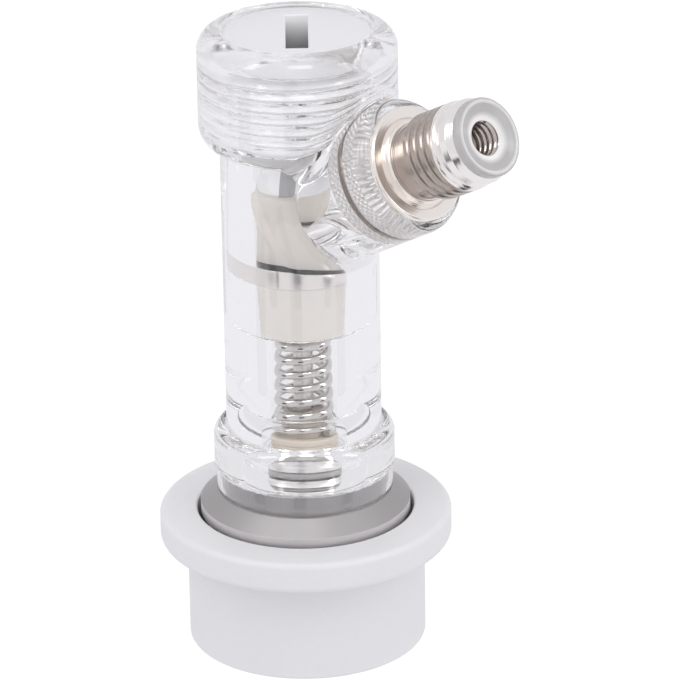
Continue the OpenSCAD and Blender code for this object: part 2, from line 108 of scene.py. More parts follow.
# Sizes of the cap and its thread, in millimetres
CAP_R = radius("cap_plug")
DISC_Z = high_z("cap_plug")
CAP_T = 2.9
CAP_THREAD_R = 8.7
CAP_THREAD_L = 9.9
CAP_THREAD_PITCH = 1.5
CAP_BOSS_R = 5.25
CAP_BOSS_WALL = 1.8
CAP_HOLLOW_H = 9.85
CAP_RELIEF = 0.4
CAP_GAP = 0.06
MOUTH_FLARE = 0.36
ORING_T = 1.7
SLOT_W = 2.8
SLOT_L = 12.6
SLOT_DEPTH = 8.0
SLOT_ANGLE = -46.6
SLOT_FLARE = 0.12
# Painted shade in the screwdriver slot, from its deep colour up to its colour near the disc
SLOT_PAINTED_SHADE_LOW = (0.42, 0.415, 0.42, 1)
SLOT_PAINTED_SHADE_TOP = (1.0, 1.0, 1.0, 1)

# Sizes of the collar, in millimetres
SKIRT_R = 15.2
OPENING_R = 13.85
RAMP_OUT_R = 13.6
FLANGE_T = 4.1
FLANGE_FALL = 0.2
COLLAR_LIP = 0.45
COLLAR_LIP_H = 1.5

# Sizes of the valve's pin and its bush, of the rings in the bore and of the springs, in millimetres
PIN_R = 1.3
PIN_FOOT_R = 1.7
CLIP_GROOVE_R = 1.0
BUTTON_HUB_R = 2.6
BUTTON_T = 0.9
BUSH_BORE_R = 1.36
BUSH_HOLES = 6
BUSH_HOLE_R = 0.65
BUSH_HOLES_AT = 2.4
SLEEVES_R = BORE_R - 0.02
SLEEVE_WALL = 0.9
GASKET_WALL = 2.1
BAND_WALL = 1.2
WIRE = 1.0
VALVE_TURNS = 7.75
COLLAR_TURNS = 3.25

# Sizes of the side port, in millimetres along its own axis
PORT_Z = 58.4
PORT_ANGLE = 28.2
BOSS_R = 8.5
BOSS_ROOT_R = 8.85
BOSS_L = 21.7
ROOT_FILLET = 2.2
KNURL_R = 6.3
KNURL_DEPTH = 0.3
INSERT_LOW = 14.3
GROOVE_LOW = 16.3
GROOVE_W = 0.8
GROOVE_DEPTH = 1.1
KNURL_END = 20.0
KNURL_AROUND = 50
KNURL_PITCH = 0.8
KNURL_RELIEF = 0.24
FACE_R = 7.2
FACE_T = 0.8
STEP_L = 0.8
UNDERCUT_L = 2.2
UNDERCUT_R = 4.57
FLARE_R = 5.5
FLARE_DEPTH = 0.68
FLARE_PITCH = 1.27
FLARE_TURNS = 5
STEP_R = FLARE_R - 0.2
LAND_L = 1.55
NOSE_L = 0.9
SPIGOT_L = 0.4
INSERT_BORE_R = 2.2
BORE_RELIEF = 0.16
BORE_PITCH = 0.9
PASSAGE_R = 3.0
WASHER_R = 4.9
WASHER_L = 1.3

THREAD_LOW = BOSS_L + FACE_T + STEP_L + UNDERCUT_L
THREAD_END = THREAD_LOW + FLARE_TURNS * FLARE_PITCH
NOSE_LOW = THREAD_END + LAND_L
SPIGOT_LOW = NOSE_LOW + NOSE_L
PORT = Matrix.Translation((0, 0, PORT_Z * MM)) @ Matrix.Rotation(math.radians(90 - PORT_ANGLE), 4, "Y")

CONE_LOW_Z = BODY_Z - 1.85
PAD_Z = BODY_Z + PAD_H
BULGE_Z = BODY_Z + LIP_H
TUBE_Z = BULGE_Z + BULGE_H
HEAD_Z = TOP_Z - HEAD_H
CAP_THREAD_Z = DISC_Z - CAP_T - CAP_THREAD_L
COUNTERBORE_Z = CAP_THREAD_Z - ORING_T

# Colours of the insert's steel along the port, of its bore, of the cage from the socket up to the neck,
# and of the cap from its boss up to the disc: each part one material, in tones of painted light and shade
# Painted shade in the insert's groove, thread and bore, painted highlights on its face and land
KNURL_STEEL = (0.86, 0.84, 0.83)
GROOVE_PAINTED_SHADE = (0.34, 0.29, 0.26)
FACE_PAINTED_SHEEN = (0.97, 0.92, 0.87)
THREAD_PAINTED_SHADE = (0.49, 0.43, 0.39)
LAND_PAINTED_SHEEN = (0.95, 0.92, 0.90)
BORE_PAINTED_SHADE = (0.58, 0.53, 0.50, 1)
# Painted shade on the cage's cone, painted light on its neck
CAGE_STEEL_WITH_PAINTED_LIGHT = ((0.76, 0.74, 0.74), (0.45, 0.435, 0.435), (0.97, 0.955, 0.95))
CAGE_ROUGHNESS = (0.5, 0.48, 0.34)
# Painted light on the cap: lightest on the boss inside the clear body, darker up the thread, darkest on the
# disc
CAP_PAINTED_LIGHT_TONES = ((0.98, 0.98, 0.985), (0.84, 0.84, 0.85), (0.775, 0.775, 0.785))

# Light of the white tent round the object. The floor shows whiter where the camera sees it bare
TENT = (0.86, 0.853, 0.885, 1)
SKY = (0.78, 0.775, 0.80, 1)
BARE_FLOOR = (1.05, 1.05, 1.05, 1)

# Lamps: name, degrees round from the camera, degrees above level, width and height in metres, and watts
LAMPS = (
    ("top", 5, 60, (0.25, 0.25), 0.6),
    ("key", -60, 45, (0.12, 0.5), 0.65),
    ("fill", 65, 30, (0.12, 0.5), 0.65),
)
LAMP_DISTANCE = 0.7
LAMP_AIM_Z = 0.045

# Dark cards: name, degrees round from the camera, distance, width, low and high edge in millimetres,
# and whether glass shows them
FLAGS = (
    ("flag_middle", -8, 90, 24, 1, 60, True),
    ("flag_left", -60, 90, 24, 1, 50, True),
    ("flag_right", 55, 90, 20, 1, 50, True),
)

# Camera, as fitted to the circles of the photograph
VIEW_AZIMUTH = 43.4
VIEW_DOWN = 22.79
VIEW_ROLL = -0.91
VIEW_YAW = 0.489
VIEW_DISTANCE = 0.6
AIM_Z = 0.04023
FOCAL_PX = 4754
PICTURE_PX = 680
SENSOR_MM = 36


# Outlines

def arc(centre_r, centre_z, r, start, end, steps=10):
    """Points along an arc of an outline, from one angle to another in degrees."""
    angles = np.radians(np.linspace(start, end, steps + 1))
    return [(centre_r + r * math.cos(a), centre_z + r * math.sin(a), 0) for a in angles]


def rounded(corners, step=0.12):
    """An outline of (radius, height, fillet) corners as plain points, each fillet an arc."""
    path = []
    for i, (r, z, fillet) in enumerate(corners):
        here = Vector((r, z))
        if not fillet:
            path.append((r, z))
            continue
        back = Vector(corners[i - 1][:2]) - here
        ahead = Vector(corners[(i + 1) % len(corners)][:2]) - here
        half = back.angle(ahead) / 2
        cut = min(fillet / math.tan(half), 0.49 * back.length, 0.49 * ahead.length)
        size = cut * math.tan(half)
        middle = here + (back.normalized() + ahead.normalized()).normalized() * size / math.sin(half)
        start = here + back.normalized() * cut - middle
        end = here + ahead.normalized() * cut - middle
        turn = start.angle_signed(end)
        steps = max(3, int(abs(turn) * size / step))
        for k in range(steps + 1):
            a = math.atan2(start.y, start.x) - turn * k / steps
            path.append((middle.x + size * math.cos(a), middle.y + size * math.sin(a)))
    return path


def finely(path, step, low=-1e9, high=1e9, loop=False):
    """The same outline with points no further apart than step, between two heights."""
    fine = []
    ends = path + path[:1] if loop else path
    for (r0, z0), (r1, z1) in zip(ends[:-1], ends[1:]):
        fine.append((r0, z0))
        length = math.hypot(r1 - r0, z1 - z0)
        if min(z0, z1) >= low - 1e-6 and max(z0, z1) <= high + 1e-6 and length > step:
            parts = math.ceil(length / step)
            fine += [(r0 + (r1 - r0) * k / parts, z0 + (z1 - z0) * k / parts) for k in range(1, parts)]
    return fine if loop else fine + [path[-1]]


# Meshes

def ramp(value, run):
    """0 where the value is below 0, 1 where it is over the run, and even between the two."""
    return np.clip(value / run, 0, 1)


def ridge(turns, level, slope):
    """A ridge of 0 to 1 round each whole turn, flat on top where the level is over 1."""
    return np.clip(level - slope * np.abs(turns - np.round(turns)), 0, 1)


def mesh_of(name, points, faces):
    """A mesh from points in millimetres."""
    mesh = bpy.data.meshes.new(name)
    mesh.from_pydata((np.asarray(points) * MM).tolist(), [], faces)
    mesh.update()
    return mesh


def turned(name, path, segments=160, loop=False, wave=None):
    """A mesh turned about Z from an outline. wave(r, z, angle) may change the radius of each point."""
    path = np.array(path)
    angle = np.arange(segments) * 2 * math.pi / segments
    r, a = np.meshgrid(path[:, 0], angle, indexing="ij")
    z = np.repeat(path[:, 1:2], segments, axis=1)
    if wave:
        r = wave(r, z, a)
    points = np.stack([r * np.cos(a), r * np.sin(a), z], -1).reshape(-1, 3)
    rows = len(path)
    faces = []
    for i in range(rows if loop else rows - 1):
        j = (i + 1) % rows
        for k in range(segments):
            m = (k + 1) % segments
            faces.append((i * segments + k, i * segments + m, j * segments + m, j * segments + k))
    mesh = mesh_of(name, points, faces)
    weld(mesh)
    return mesh


def weld(mesh):
    """Joins points that coincide, as on the axis, and turns the faces outwards."""
    work = bmesh.new()
    work.from_mesh(mesh)
    bmesh.ops.remove_doubles(work, verts=work.verts, dist=1e-7)
    bmesh.ops.dissolve_degenerate(work, edges=work.edges, dist=1e-8)
    bmesh.ops.recalc_face_normals(work, faces=work.faces)
    work.to_mesh(mesh)
    work.free()


def coil(name, r, wire, z0, height, turns, closed, per_turn=64, sides=20):
    """A compression spring with closed ends."""
    steps = int(turns * per_turn)
    u = np.linspace(0, turns, steps + 1)
    shut = wire * 1.03
    open_part = np.clip((u - closed) / (turns - 2 * closed), 0, 1)
    shut_part = np.minimum(u, closed) + np.maximum(0, u - turns + closed)
    rise = z0 + wire / 2 + (height - wire - 2 * closed * shut) * open_part + shut * shut_part
    a = 2 * math.pi * u[:, None]
    b = 2 * math.pi * np.arange(sides)[None, :] / sides
    rr = r + wire / 2 * np.cos(b)
    points = np.stack([rr * np.cos(a), rr * np.sin(a), rise[:, None] + wire / 2 * np.sin(b) + 0 * a], -1)
    faces = [tuple(range(sides)), tuple(steps * sides + k for k in reversed(range(sides)))]
    for i in range(steps):
        for k in range(sides):
            m = (k + 1) % sides
            faces.append((i * sides + k, i * sides + m, (i + 1) * sides + m, (i + 1) * sides + k))
    mesh = mesh_of(name, points.reshape(-1, 3), faces)
    weld(mesh)
    return mesh


def piece(name, mesh, body, finish, *nodes, sharp=32, placed=None):
    """Shows a mesh as a piece on a body, in place of its nodes."""
    if placed:
        mesh.transform(placed)
    mesh.polygons.foreach_set("use_smooth", [True] * len(mesh.polygons))
    mesh.set_sharp_from_angle(angle=math.radians(sharp))
    mesh.materials.clear()
    mesh.materials.append(finish)
    obj = bpy.data.objects.new(name, mesh)
    bpy.context.collection.objects.link(obj)
    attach(obj, body)
    if nodes:
        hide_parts(*nodes)
    return obj


# Materials

def material(name):
    """A new material, its node tree and its shader."""
    made = bpy.data.materials.new(name)
    made.use_nodes = True
    tree = made.node_tree
    return made, tree, tree.nodes["Principled BSDF"]


def node(tree, kind, **values):
    """A shader node, with values for its properties or inputs."""
    made = tree.nodes.new(kind)
    for key, value in values.items():
        if hasattr(made, key):
            setattr(made, key, value)
        else:
            made.inputs[key].default_value = value
    return made


def grain(tree, shader, scale, strength, depth, stretch=(1, 1, 1), detail=3):
    """A fine bump from noise at the given scale per metre."""
    place = node(tree, "ShaderNodeTexCoord")
    size = node(tree, "ShaderNodeMapping")
    size.inputs["Scale"].default_value = stretch
    noise = node(tree, "ShaderNodeTexNoise", Scale=scale, Detail=detail)
    bump = node(tree, "ShaderNodeBump", Strength=strength, Distance=depth)
    tree.links.new(place.outputs["Object"], size.inputs["Vector"])
    tree.links.new(size.outputs["Vector"], noise.inputs["Vector"])
    tree.links.new(noise.outputs["Fac"], bump.inputs["Height"])
    tree.links.new(bump.outputs["Normal"], shader.inputs["Normal"])
    return noise


def place_of(tree, rotation_type=None, angle=0.0):
    """The object's own coordinates, perhaps turned about an axis: the vector and its three parts."""
    place = node(tree, "ShaderNodeTexCoord").outputs["Object"]
    if rotation_type:
        own = node(tree, "ShaderNodeVectorRotate", rotation_type=rotation_type)
        own.inputs["Angle"].default_value = angle
        if rotation_type == "AXIS_ANGLE":
            own.inputs["Center"].default_value = PORT.translation
            own.inputs["Axis"].default_value = (0, 1, 0)
        tree.links.new(place, own.inputs["Vector"])
        place = own.outputs["Vector"]
    split = node(tree, "ShaderNodeSeparateXYZ")
    tree.links.new(place, split.inputs["Vector"])
    return place, split.outputs


def measured(tree, value, low, high, to_high=1.0):
    """The value mapped from low to high, in millimetres, onto 0 to 1 or to_high."""
    span = node(tree, "ShaderNodeMapRange")
    span.inputs["From Min"].default_value = low * MM
    span.inputs["From Max"].default_value = high * MM
    span.inputs["To Max"].default_value = to_high
    tree.links.new(value, span.inputs["Value"])
    return span.outputs["Result"]


def mixed(tree, factor, one, other):
    """A colour mixed from two, each a plain colour or another node's socket."""
    mix = node(tree, "ShaderNodeMix", data_type="RGBA")
    tree.links.new(factor, mix.inputs[0])
    for socket, colour in ((mix.inputs[6], one), (mix.inputs[7], other)):
        if isinstance(colour, tuple):
            socket.default_value = colour
        else:
            tree.links.new(colour, socket)
    return mix.outputs[2]


def compared(tree, operation, value, limit=0.0):
    """The result of one piece of arithmetic on a value."""
    made = node(tree, "ShaderNodeMath", operation=operation)
    tree.links.new(value, made.inputs[0])
    if isinstance(limit, float):
        made.inputs[1].default_value = limit
    else:
        tree.links.new(limit, made.inputs[1])
    return made.outputs[0]


def varied(tree, shader, socket, noise, low, high):
    """Drives a value such as roughness between two limits by a noise."""
    span = node(tree, "ShaderNodeMapRange")
    span.inputs["To Min"].default_value = low
    span.inputs["To Max"].default_value = high
    tree.links.new(noise.outputs["Fac"], span.inputs["Value"])
    tree.links.new(span.outputs["Result"], shader.inputs[socket])


def tinted(tree, shader, noise, dark, light):
    """Drives the base colour between two colours by a noise."""
    tree.links.new(mixed(tree, noise.outputs["Fac"], dark, light), shader.inputs["Base Color"])


def lamps_pass(tree, shader):
    """Lets lamps shine through the piece onto what it holds."""
    through = node(tree, "ShaderNodeBsdfTransparent")
    path = node(tree, "ShaderNodeLightPath")
    mix = node(tree, "ShaderNodeMixShader")
    tree.links.new(path.outputs["Is Shadow Ray"], mix.inputs["Fac"])
    tree.links.new(shader.outputs["BSDF"], mix.inputs[1])
    tree.links.new(through.outputs["BSDF"], mix.inputs[2])
    tree.links.new(mix.outputs["Shader"], tree.nodes["Material Output"].inputs["Surface"])


def clear_finish():
    """Polished polycarbonate, slightly hazy in the head."""
    made, tree, shader = material("clear_polycarbonate")
    shader.inputs["Base Color"].default_value = (0.985, 0.985, 0.988, 1)
    shader.inputs["Transmission Weight"].default_value = 1
    shader.inputs["IOR"].default_value = 1.585
    grain(tree, shader, 260, 0.05, depth=0.00005, detail=1)
    _, parts = place_of(tree)
    haze = measured(tree, parts["Z"], HEAD_Z - 4, HEAD_Z + 1, HEAD_HAZE)
    tree.links.new(haze, shader.inputs["Roughness"])
    lamps_pass(tree, shader)
    return made


def metal_finish(name, colour, low, high):
    """Plain metal with a faint grain, its roughness between two limits."""
    made, tree, shader = material(name)
    shader.inputs["Metallic"].default_value = 1
    noise = grain(tree, shader, 900, 0.12, depth=0.00003)
    varied(tree, shader, "Roughness", noise, low, high)
    dark = tuple(c * 0.93 for c in colour) + (1,)
    tinted(tree, shader, noise, dark, colour + (1,))
    return made


def stepped(tree, shader, socket, value, bands, between="CONSTANT"):
    """Sets a colour or a roughness by bands along one measure from 0 to 1."""
    ramp = node(tree, "ShaderNodeValToRGB")
    ramp.color_ramp.interpolation = between
    while len(ramp.color_ramp.elements) < len(bands):
        ramp.color_ramp.elements.new(0.5)
    for element, (start, colour) in zip(ramp.color_ramp.elements, bands):
        element.position = start
        element.color = tuple(colour) + (1,)
    tree.links.new(value, ramp.inputs["Fac"])
    tree.links.new(ramp.outputs["Color"], shader.inputs[socket])


def about_port(tree):
    """Sockets for the distance from the port's axis and the height along it, in metres."""
    place, parts = place_of(tree, "AXIS_ANGLE", -math.radians(90 - PORT_ANGLE))
    flat = node(tree, "ShaderNodeVectorMath", operation="MULTIPLY")
    flat.inputs[1].default_value = (1, 1, 0)
    out = node(tree, "ShaderNodeVectorMath", operation="LENGTH")
    tree.links.new(place, flat.inputs[0])
    tree.links.new(flat.outputs["Vector"], out.inputs[0])
    return out.outputs["Value"], parts["Z"]


def turned_finish():
    """Turned steel with rings round the port's axis: painted shade in the groove, thread and bore, and
    painted highlights on the face and land.
    """
    made, tree, shader = material("insert_steel")
    shader.inputs["Metallic"].default_value = 1
    distance, height = about_port(tree)
    rings = node(tree, "ShaderNodeTexNoise", Scale=9000, Detail=1)
    rings.noise_dimensions = "1D"
    bump = node(tree, "ShaderNodeBump", Strength=0.35, Distance=0.00002)
    tree.links.new(distance, rings.inputs["W"])
    tree.links.new(rings.outputs["Fac"], bump.inputs["Height"])
    tree.links.new(bump.outputs["Normal"], shader.inputs["Normal"])
    along = measured(tree, height, PORT_Z, PORT_Z + SPIGOT_LOW)
    # Painted shade in the groove and thread, painted highlights on the face and land, along the port
    bands = (
        (0, KNURL_STEEL, 0.34), (GROOVE_LOW, GROOVE_PAINTED_SHADE, 0.3), (GROOVE_LOW + GROOVE_W, KNURL_STEEL, 0.34),
        (BOSS_L - 0.2, FACE_PAINTED_SHEEN, 0.2), (BOSS_L + FACE_T + STEP_L - 0.1, THREAD_PAINTED_SHADE, 0.24),
        (THREAD_END - 1.3, LAND_PAINTED_SHEEN, 0.16),
    )
    colours = [(start / SPIGOT_LOW, colour) for start, colour, _ in bands]
    roughness = [(start / SPIGOT_LOW, (rough,) * 3) for start, _, rough in bands]
    stepped(tree, shader, "Base Color", along, colours)
    # Painted shade inside the bore
    bore_shade_mask = compared(tree, "LESS_THAN", distance, (INSERT_BORE_R + 0.25) * MM)
    outer = shader.inputs["Base Color"].links[0].from_socket
    tree.links.new(mixed(tree, bore_shade_mask, outer, BORE_PAINTED_SHADE), shader.inputs["Base Color"])
    stepped(tree, shader, "Roughness", along, roughness)
    return made


def cage_finish():
    """Turned steel, satin on the cone: painted shade darkens the cone under the collar, its side is lighter,
    and painted light brightens the neck in the clear body.
    """
    made, tree, shader = material("satin_steel")
    shader.inputs["Metallic"].default_value = 1
    grain(tree, shader, 700, 0.12, depth=0.00003, stretch=(1, 1, 14))
    _, parts = place_of(tree)
    high = measured(tree, parts["Z"], 0, NECK_Z)
    starts = [z / NECK_Z for z in (0, CONE_LOW_Z, PAD_Z - 0.3)]
    # Painted shade on the cone and painted light on the neck, by height
    stepped(tree, shader, "Base Color", high, list(zip(starts, CAGE_STEEL_WITH_PAINTED_LIGHT)))
    roughness = [(start, (rough,) * 3) for start, rough in zip(starts, CAGE_ROUGHNESS)]
    stepped(tree, shader, "Roughness", high, roughness)
    return made


def plastic_finish(name, colour, low, high, scatter=0.0):
    """A moulded plastic or a rubber with a faint grain. Without a colour, the caller links one."""
    made, tree, shader = material(name)
    noise = grain(tree, shader, 1400, 0.2, depth=0.00003)
    varied(tree, shader, "Roughness", noise, low, high)
    if colour:
        dark = tuple(c * 0.96 for c in colour) + (1,)
        tinted(tree, shader, noise, dark, colour + (1,))
    if scatter:
        shader.inputs["Subsurface Weight"].default_value = scatter
        shader.inputs["Subsurface Radius"].default_value = (1, 0.9, 0.8)
        shader.inputs["Subsurface Scale"].default_value = 0.001
    return made


def see_through(made, colour, share):
    """Lets a share of the light through a thin milky wall."""
    tree = made.node_tree
    through = node(tree, "ShaderNodeBsdfTranslucent")
    through.inputs["Color"].default_value = colour + (1,)
    mix = node(tree, "ShaderNodeMixShader")
    mix.inputs["Fac"].default_value = share
    tree.links.new(tree.nodes["Principled BSDF"].outputs["BSDF"], mix.inputs[1])
    tree.links.new(through.outputs["BSDF"], mix.inputs[2])
    tree.links.new(mix.outputs["Shader"], tree.nodes["Material Output"].inputs["Surface"])


def cap_finish():
    """The cap's moulding in tones of painted light by height, with painted shade darkening its slot towards
    the bottom.
    """
    made = plastic_finish("cap_moulding", None, 0.35, 0.42, scatter=0.1)
    tree, shader = made.node_tree, made.node_tree.nodes["Principled BSDF"]
    _, parts = place_of(tree, "Z_AXIS", -math.radians(SLOT_ANGLE))
    within = [
        compared(tree, "LESS_THAN", compared(tree, "ABSOLUTE", parts[axis]), (size / 2 + 0.04) * MM)
        for axis, size in (("X", SLOT_L), ("Y", SLOT_W))
    ]
    in_slot = compared(tree, "MULTIPLY", *within)
    # Painted shade in the slot, darker with depth
    up_slot = measured(tree, parts["Z"], DISC_Z - 5.0, DISC_Z - 0.8)
    shade = mixed(tree, up_slot, SLOT_PAINTED_SHADE_LOW, SLOT_PAINTED_SHADE_TOP)
    # Painted light by height: lightest on the boss, darker on the thread and the disc
    starts = [(z - CAP_LOW_Z) / (DISC_Z - CAP_LOW_Z) for z in (CAP_LOW_Z, CAP_THREAD_Z, DISC_Z - 0.6)]
    along = measured(tree, parts["Z"], CAP_LOW_Z, DISC_Z)
    stepped(tree, shader, "Base Color", along, list(zip(starts, CAP_PAINTED_LIGHT_TONES)))
    plain = shader.inputs["Base Color"].links[0].from_socket
    tree.links.new(mixed(tree, in_slot, plain, shade), shader.inputs["Base Color"])
    return made


def washer_finish():
    """Milky nylon, with painted highlights round its hole and on its rim and painted shade between and
    outside them.
    """
    made, tree, shader = material("nylon")
    distance, _ = about_port(tree)
    # Painted highlights round the hole and on the rim's crest, painted shade in the dish and at the outer
    # edge
    light, painted_shade = (0.97, 0.965, 0.96), (0.58, 0.57, 0.565)
    rings = ((2.6, light), (3.3, painted_shade), (4.1, painted_shade), (4.4, light), (4.75, painted_shade))
    rings = [(r / WASHER_R, tone) for r, tone in rings]
    stepped(tree, shader, "Base Color", measured(tree, distance, 0, WASHER_R), rings, "LINEAR")
    shader.inputs["Transmission Weight"].default_value = 0.35
    shader.inputs["Roughness"].default_value = 0.22
    shader.inputs["IOR"].default_value = 1.53
    lamps_pass(tree, shader)
    return made


clear = clear_finish()
grey_plastic = plastic_finish("grey_moulding", (0.80, 0.80, 0.81), 0.42, 0.5, scatter=0.1)
cap_plastic = cap_finish()
acetal = plastic_finish("natural_acetal", (0.92, 0.89, 0.85), 0.35, 0.45, scatter=0.3)
see_through(acetal, (0.99, 0.97, 0.94), 0.35)
thin_acetal = plastic_finish("thin_acetal", (0.93, 0.90, 0.86), 0.35, 0.45, scatter=0.3)
see_through(thin_acetal, (1.0, 0.98, 0.95), 0.6)
cream = plastic_finish("cream_acetal", (0.74, 0.66, 0.57), 0.38, 0.48, scatter=0.15)
seal_rubber = plastic_finish("seal_rubber", (0.72, 0.64, 0.54), 0.5, 0.6)
pale_rubber = plastic_finish("pale_rubber", (0.80, 0.79, 0.78), 0.45, 0.55)
grey_rubber = plastic_finish("grey_rubber", (0.45, 0.44, 0.43), 0.45, 0.55)
black_rubber = plastic_finish("black_rubber", (0.02, 0.02, 0.02), 0.35, 0.5)
polished = metal_finish("polished_steel", (0.90, 0.87, 0.84), 0.28, 0.36)
insert_steel = turned_finish()
satin = cage_finish()
wire_steel = metal_finish("wire_steel", (0.74, 0.72, 0.70), 0.06, 0.12)
ball_steel = metal_finish("ball_steel", (0.82, 0.82, 0.82), 0.03, 0.06)
washer_nylon = washer_finish()


# Clear body

def body_outline(fine=1):
    """The outside of the clear body, from the axis at the bottom to the axis at the top."""
    taper = [
        (TUBE_R + (HEAD_R - TUBE_R) * math.sin(a), HEAD_Z - HEAD_TAPER * math.cos(a), 0)
        for a in np.radians(np.linspace(0, 90, 16 * fine + 1))
    ]
    return rounded(
        [(0, BODY_Z, 0), (LIP_R, BODY_Z, 0.35), (LIP_R, BULGE_Z, 0)]
        + [(BULGE_R, BULGE_Z + 0.25, 0.2)]
        + arc(BULGE_R - BULGE_ROUND, TUBE_Z - BULGE_ROUND, BULGE_ROUND, 0, 82, 10 * fine)
        + [(TUBE_R, TUBE_Z + 0.02, CREASE), (TUBE_R, HEAD_Z - HEAD_TAPER, CREASE)]
        + taper[1:]
        + arc(HEAD_R - HEAD_ROUND, TOP_Z - HEAD_ROUND, HEAD_ROUND, 0, 90, 12 * fine)
        + [(0, TOP_Z, 0)],
        0.12 / fine,
    )


def boss_outline(fine=1):
    """The outside of the boss along the port's axis."""
    rim_round = arc(BOSS_R - 1.3, BOSS_L - 1.3, 1.3, 0, 90, 8 * fine)
    return rounded([(0, 4, 0), (BOSS_ROOT_R, 4, 0)] + rim_round + [(0, BOSS_L, 0)])


def turned_distance(points, path):
    """Signed distance in millimetres to a turned outline, negative inside, and its direction."""
    r, z = np.hypot(points[:, 0], points[:, 1]), points[:, 2]
    best = np.full(len(r), 1e9)
    near_r, near_z = np.zeros(len(r)), np.zeros(len(r))
    inside = np.zeros(len(r), bool)
    for (r0, z0), (r1, z1) in zip(path[:-1], path[1:]):
        dr, dz = r1 - r0, z1 - z0
        if dr * dr + dz * dz < 1e-12:
            continue
        t = np.clip(((r - r0) * dr + (z - z0) * dz) / (dr * dr + dz * dz), 0, 1)
        qr, qz = r0 + t * dr, z0 + t * dz
        d = np.hypot(r - qr, z - qz)
        closer = d < best
        best = np.where(closer, d, best)
        near_r = np.where(closer, qr, near_r)
        near_z = np.where(closer, qz, near_z)
        if dz:
            inside ^= ((z0 > z) != (z1 > z)) & (r < dr * (z - z0) / dz + r0)
    sign = np.where(inside, -1.0, 1.0)
    scale = sign / np.maximum(best, 1e-9)
    out = np.stack([(r - near_r) * scale, (z - near_z) * scale], -1)
    unit = points[:, :2] / np.maximum(r, 1e-9)[:, None]
    return sign * best, np.concatenate([out[:, :1] * unit, out[:, 1:]], 1)


def skin_field(points, fine=1):
    """Distance to the skin of body and boss, with a round fillet between them, and its direction."""
    turn = np.array(PORT.to_3x3())
    shift = np.array(PORT.translation) / MM
    a, toward_a = turned_distance(points, body_outline(fine))
    b, toward_b = turned_distance((points - shift) @ turn, boss_outline(fine))
    toward_b = toward_b @ turn.T
    u, v = np.maximum(ROOT_FILLET - a, 0), np.maximum(ROOT_FILLET - b, 0)
    both = np.hypot(u, v)
    field = np.maximum(ROOT_FILLET, np.minimum(a, b)) - both
    return field, (u[:, None] * toward_a + v[:, None] * toward_b) / np.maximum(both, 1e-9)[:, None]


def settle(points, fine, rounds):
    """Moves points onto the skin."""
    for _ in range(rounds):
        field, toward = skin_field(points, fine)
        points = points - field[:, None] * toward / np.maximum((toward**2).sum(1), 0.2)[:, None]
    return points


def smooth_normals(mesh):
    """Gives the faces on the skin the normals of the true surface."""
    count = len(mesh.vertices)
    points, around = np.empty(count * 3), np.empty(count * 3)
    mesh.vertices.foreach_get("co", points)
    mesh.vertex_normals.foreach_get("vector", around)
    points, around = points.reshape(-1, 3) / MM, around.reshape(-1, 3)
    field, _ = skin_field(points, 4)
    _, toward = skin_field(points - 0.06 * around, 4)
    toward /= np.maximum(np.linalg.norm(toward, axis=1), 1e-9)[:, None]
    corner_vertex = np.empty(len(mesh.loops), int)
    mesh.loops.foreach_get("vertex_index", corner_vertex)
    sizes = np.empty(len(mesh.polygons), int)
    mesh.polygons.foreach_get("loop_total", sizes)
    flat = np.empty(len(mesh.polygons) * 3)
    mesh.polygons.foreach_get("normal", flat)
    face_normal = np.repeat(flat.reshape(-1, 3), sizes, axis=0)
    true_normal = toward[corner_vertex]
    on_skin = (np.abs(field[corner_vertex]) < 0.01) & ((face_normal * true_normal).sum(1) > 0.8)
    mesh.normals_split_custom_set(np.where(on_skin[:, None], true_normal, 0).tolist())


def shown(obj):
    """The object's mesh with its modifiers applied."""
    depsgraph = bpy.context.evaluated_depsgraph_get()
    return bpy.data.meshes.new_from_object(obj.evaluated_get(depsgraph))


def scratch(name, mesh):
    """A helper object, removed again after its modifiers have run."""
    obj = bpy.data.objects.new(name, mesh)
    bpy.context.collection.objects.link(obj)
    return obj


def cut(mesh, *cutters):
    """The mesh less each cutter."""
    base = scratch("base", mesh)
    for i, cutter in enumerate(cutters):
        tool = scratch(f"tool_{i}", cutter)
        modifier = base.modifiers.new(f"cut_{i}", "BOOLEAN")
        modifier.object = tool
        modifier.operation = "DIFFERENCE"
        modifier.solver = "MANIFOLD"
    result = shown(base)
    for obj in [base] + [m.object for m in base.modifiers]:
        bpy.data.objects.remove(obj)
    return result


def outside_mesh():
    """The outside of the clear body: an even skin of small faces, settled on the true surface."""
    body = turned("outside", body_outline(), 160)
    boss = turned("boss", boss_outline(), 96)
    boss.transform(PORT)
    start = scratch("start", body)
    tool = scratch("boss_tool", boss)
    join = start.modifiers.new("join", "BOOLEAN")
    join.object = tool
    join.operation = "UNION"
    join.solver = "MANIFOLD"
    skin = start.modifiers.new("skin", "REMESH")
    skin.mode = "VOXEL"
    skin.voxel_size = VOXEL * MM
    mesh = shown(start)
    bpy.data.objects.remove(start)
    bpy.data.objects.remove(tool)
    points = np.empty(len(mesh.vertices) * 3)
    mesh.vertices.foreach_get("co", points)
    points = points.reshape(-1, 3) / MM
    edges = np.empty(len(mesh.edges) * 2, int)
    mesh.edges.foreach_get("vertices", edges)
    edges = edges.reshape(-1, 2)
    for smoothing, fine, rounds in ((2, 1, 4), (2, 1, 3), (0, 4, 2)):
        points = settle(points, fine, rounds)
        for _ in range(smoothing):
            total, count = np.zeros_like(points), np.zeros(len(points))
            for one, other in ((0, 1), (1, 0)):
                np.add.at(total, edges[:, one], points[edges[:, other]])
                np.add.at(count, edges[:, one], 1)
            points = 0.5 * points + 0.5 * total / count[:, None]
    mesh.vertices.foreach_set("co", (points * MM).ravel())
    mesh.update()
    return mesh


